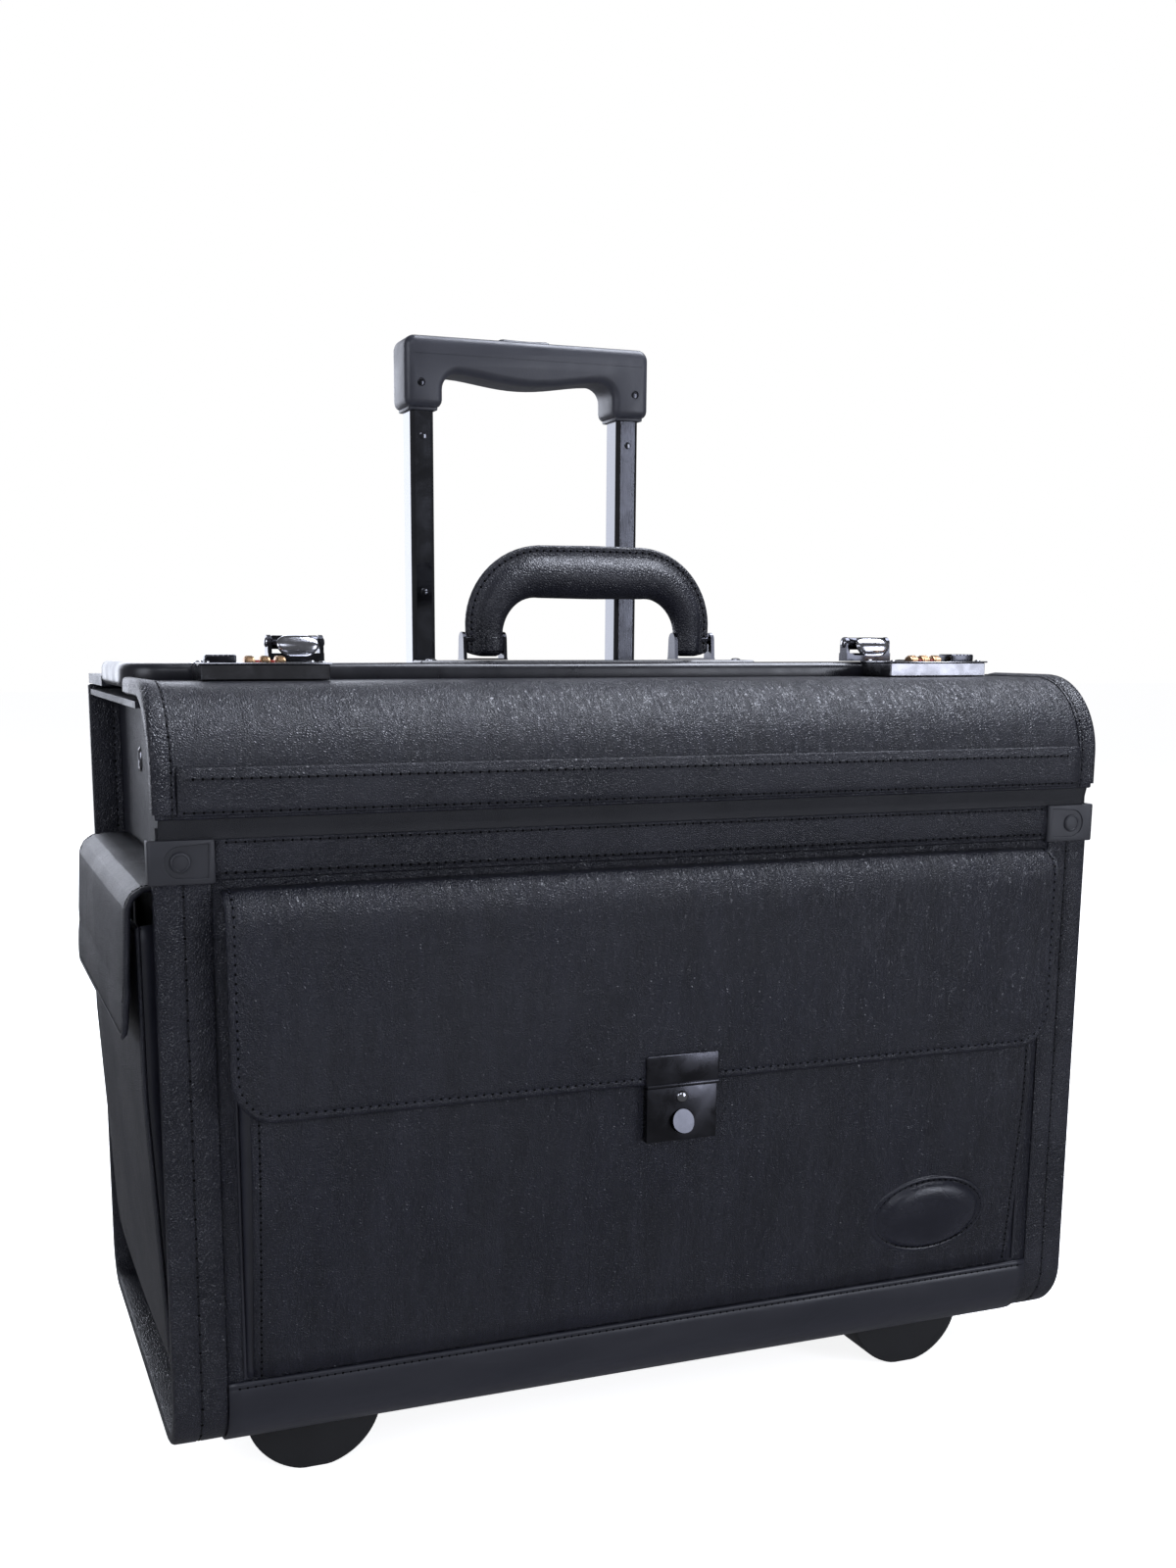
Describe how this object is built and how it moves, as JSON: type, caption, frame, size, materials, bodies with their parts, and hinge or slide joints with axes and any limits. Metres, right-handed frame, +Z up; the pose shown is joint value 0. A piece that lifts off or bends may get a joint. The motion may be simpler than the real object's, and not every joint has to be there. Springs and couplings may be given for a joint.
{
  "type": "rolling pilot case",
  "caption": "Boxy black leatherette pilot flight case with opening top lids, combination locks, front and end pocket, carry handle, telescopic trolley, stand feet and wheels",
  "frame": {"origin": "on the floor under the middle of the bounding box", "axes": "+X along the long side to the right seen from the front, +Y from the front pocket to the back with the wheels, +Z up"},
  "size_m": [0.4876, 0.28, 0.5532],
  "materials": {
    "leatherette": "grained black leatherette over board",
    "pebble_leather": "fine pebble-grain black leather",
    "lining_board": "dark woven lining over board",
    "matte_plastic": "matte black moulded plastic",
    "rubber": "matte black rubber",
    "black_steel": "gloss black lacquered steel",
    "gunmetal": "dark nickel plate",
    "chrome": "bright nickel plate",
    "brass": "lacquered brass number wheels",
    "steel": "plain drawn steel"
  },
  "bodies": {
    "case": {"body_shell": "leatherette", "end_panel_left": "leatherette", "end_panel_right": "leatherette", "corner_bracket_left": "matte_plastic", "corner_bracket_right": "matte_plastic", "top_back_strip": "leatherette", "front_hinge_strip": "pebble_leather", "trolley_cover_panel": "lining_board", "file_divider": "lining_board", "trolley_sleeve_left": "steel", "trolley_sleeve_right": "steel", "trolley_base_block": "matte_plastic", "trolley_bezel": "matte_plastic", "front_pocket": "leatherette", "tuck_lock_case": "gunmetal", "oval_badge": "leatherette", "end_pocket_left": "leatherette", "stand_foot_left": "rubber", "stand_foot_right": "rubber", "wheel_housing_left": "matte_plastic", "wheel_housing_right": "matte_plastic"},
    "front_lid": {"front_lid_panel": "leatherette", "lock_body_left": "gunmetal", "lock_body_right": "gunmetal"},
    "back_lid": {"back_lid_panel": "leatherette", "top_rail": "matte_plastic", "back_lid_frame_left": "matte_plastic", "back_lid_frame_right": "matte_plastic", "handle_plate": "matte_plastic", "handle_bracket_left": "gunmetal", "handle_bracket_right": "gunmetal", "hasp_base_left": "gunmetal", "hasp_base_right": "gunmetal"},
    "handle": {"carry_handle": "pebble_leather"},
    "flap": {"front_flap": "leatherette", "tuck_lock_plate": "gunmetal"},
    "catch_knob": {"tuck_lock_knob": "chrome"},
    "trolley_middle": {"trolley_middle_tube_left": "black_steel", "trolley_middle_tube_right": "black_steel"},
    "trolley_inner": {"trolley_inner_tube_left": "black_steel", "trolley_inner_tube_right": "black_steel", "trolley_grip": "matte_plastic"},
    "trolley_release": {"trolley_button": "matte_plastic", "trolley_release_link": "steel"},
    "lock_slide_left": {"lock_slide_left": "gunmetal"},
    "hasp_left": {"hasp_left": "chrome"},
    "dial_left_1": {"lock_dial_left_1": "brass"},
    "dial_left_2": {"lock_dial_left_2": "brass"},
    "dial_left_3": {"lock_dial_left_3": "brass"},
    "end_flap_left": {"end_flap_left": "leatherette"},
    "wheel_left": {"wheel_left": "rubber"},
    "lock_slide_right": {"lock_slide_right": "gunmetal"},
    "hasp_right": {"hasp_right": "chrome"},
    "dial_right_1": {"lock_dial_right_1": "brass"},
    "dial_right_2": {"lock_dial_right_2": "brass"},
    "dial_right_3": {"lock_dial_right_3": "brass"},
    "wheel_right": {"wheel_right": "rubber"}
  },
  "joints": [
    {"name": "front_lid_open", "type": "hinge", "parent": "case", "child": "front_lid", "pos_m": [0.00625, -0.1185, 0.3155], "axis": [1, 0, 0], "range_deg": [0, 100]},
    {"name": "back_lid_open", "type": "hinge", "parent": "case", "child": "back_lid", "pos_m": [0.00625, 0.053, 0.373], "axis": [-1, 0, 0], "range_deg": [0, 55]},
    {"name": "carry_handle_swing", "type": "hinge", "parent": "back_lid", "child": "handle", "pos_m": [0.00625, -0.0185, 0.392], "axis": [1, 0, 0], "range_deg": [-85, 85]},
    {"name": "front_flap_lift", "type": "hinge", "parent": "case", "child": "flap", "pos_m": [0.00625, -0.1193, 0.2905], "axis": [-1, 0, 0], "range_deg": [0, 72]},
    {"name": "tuck_lock_push", "type": "slide", "parent": "case", "child": "catch_knob", "axis": [0, 1, 0], "range_m": [0, 0.002], "stiffness_N_per_m": 300},
    {"name": "trolley_middle_slide", "type": "slide", "parent": "case", "child": "trolley_middle", "axis": [0, 0, 1], "range_m": [0, 0.22]},
    {"name": "trolley_inner_slide", "type": "slide", "parent": "trolley_middle", "child": "trolley_inner", "axis": [0, 0, 1], "range_m": [-0.133, 0.1]},
    {"name": "trolley_button_push", "type": "slide", "parent": "trolley_inner", "child": "trolley_release", "axis": [0, 0, -1], "range_m": [0, 0.0035], "stiffness_N_per_m": 1000, "springref_m": -0.002},
    {"name": "lock_slide_left_push", "type": "slide", "parent": "front_lid", "child": "lock_slide_left", "axis": [-1, 0, 0], "range_m": [0, 0.005], "stiffness_N_per_m": 150},
    {"name": "hasp_left_lift", "type": "hinge", "parent": "back_lid", "child": "hasp_left", "pos_m": [-0.14875, -0.0305, 0.3905], "axis": [-1, 0, 0], "range_deg": [0, 110]},
    {"name": "dial_left_1_turn", "type": "hinge", "parent": "front_lid", "child": "dial_left_1", "pos_m": [-0.16125, -0.0565, 0.38], "axis": [1, 0, 0], "continuous": true},
    {"name": "dial_left_2_turn", "type": "hinge", "parent": "front_lid", "child": "dial_left_2", "pos_m": [-0.16825, -0.0565, 0.38], "axis": [1, 0, 0], "continuous": true},
    {"name": "dial_left_3_turn", "type": "hinge", "parent": "front_lid", "child": "dial_left_3", "pos_m": [-0.17525, -0.0565, 0.38], "axis": [1, 0, 0], "continuous": true},
    {"name": "end_flap_left_lift", "type": "hinge", "parent": "case", "child": "end_flap_left", "pos_m": [-0.21455, 0, 0.2905], "axis": [0, 1, 0], "range_deg": [0, 75]},
    {"name": "wheel_left_roll", "type": "hinge", "parent": "case", "child": "wheel_left", "pos_m": [-0.18875, 0.11, 0.03], "axis": [1, 0, 0], "continuous": true},
    {"name": "lock_slide_right_push", "type": "slide", "parent": "front_lid", "child": "lock_slide_right", "axis": [1, 0, 0], "range_m": [0, 0.005], "stiffness_N_per_m": 150},
    {"name": "hasp_right_lift", "type": "hinge", "parent": "back_lid", "child": "hasp_right", "pos_m": [0.16125, -0.0305, 0.3905], "axis": [-1, 0, 0], "range_deg": [0, 110]},
    {"name": "dial_right_1_turn", "type": "hinge", "parent": "front_lid", "child": "dial_right_1", "pos_m": [0.17375, -0.0565, 0.38], "axis": [1, 0, 0], "continuous": true},
    {"name": "dial_right_2_turn", "type": "hinge", "parent": "front_lid", "child": "dial_right_2", "pos_m": [0.18075, -0.0565, 0.38], "axis": [1, 0, 0], "continuous": true},
    {"name": "dial_right_3_turn", "type": "hinge", "parent": "front_lid", "child": "dial_right_3", "pos_m": [0.18775, -0.0565, 0.38], "axis": [1, 0, 0], "continuous": true},
    {"name": "wheel_right_roll", "type": "hinge", "parent": "case", "child": "wheel_right", "pos_m": [0.20125, 0.11, 0.03], "axis": [1, 0, 0], "continuous": true}
  ]
}
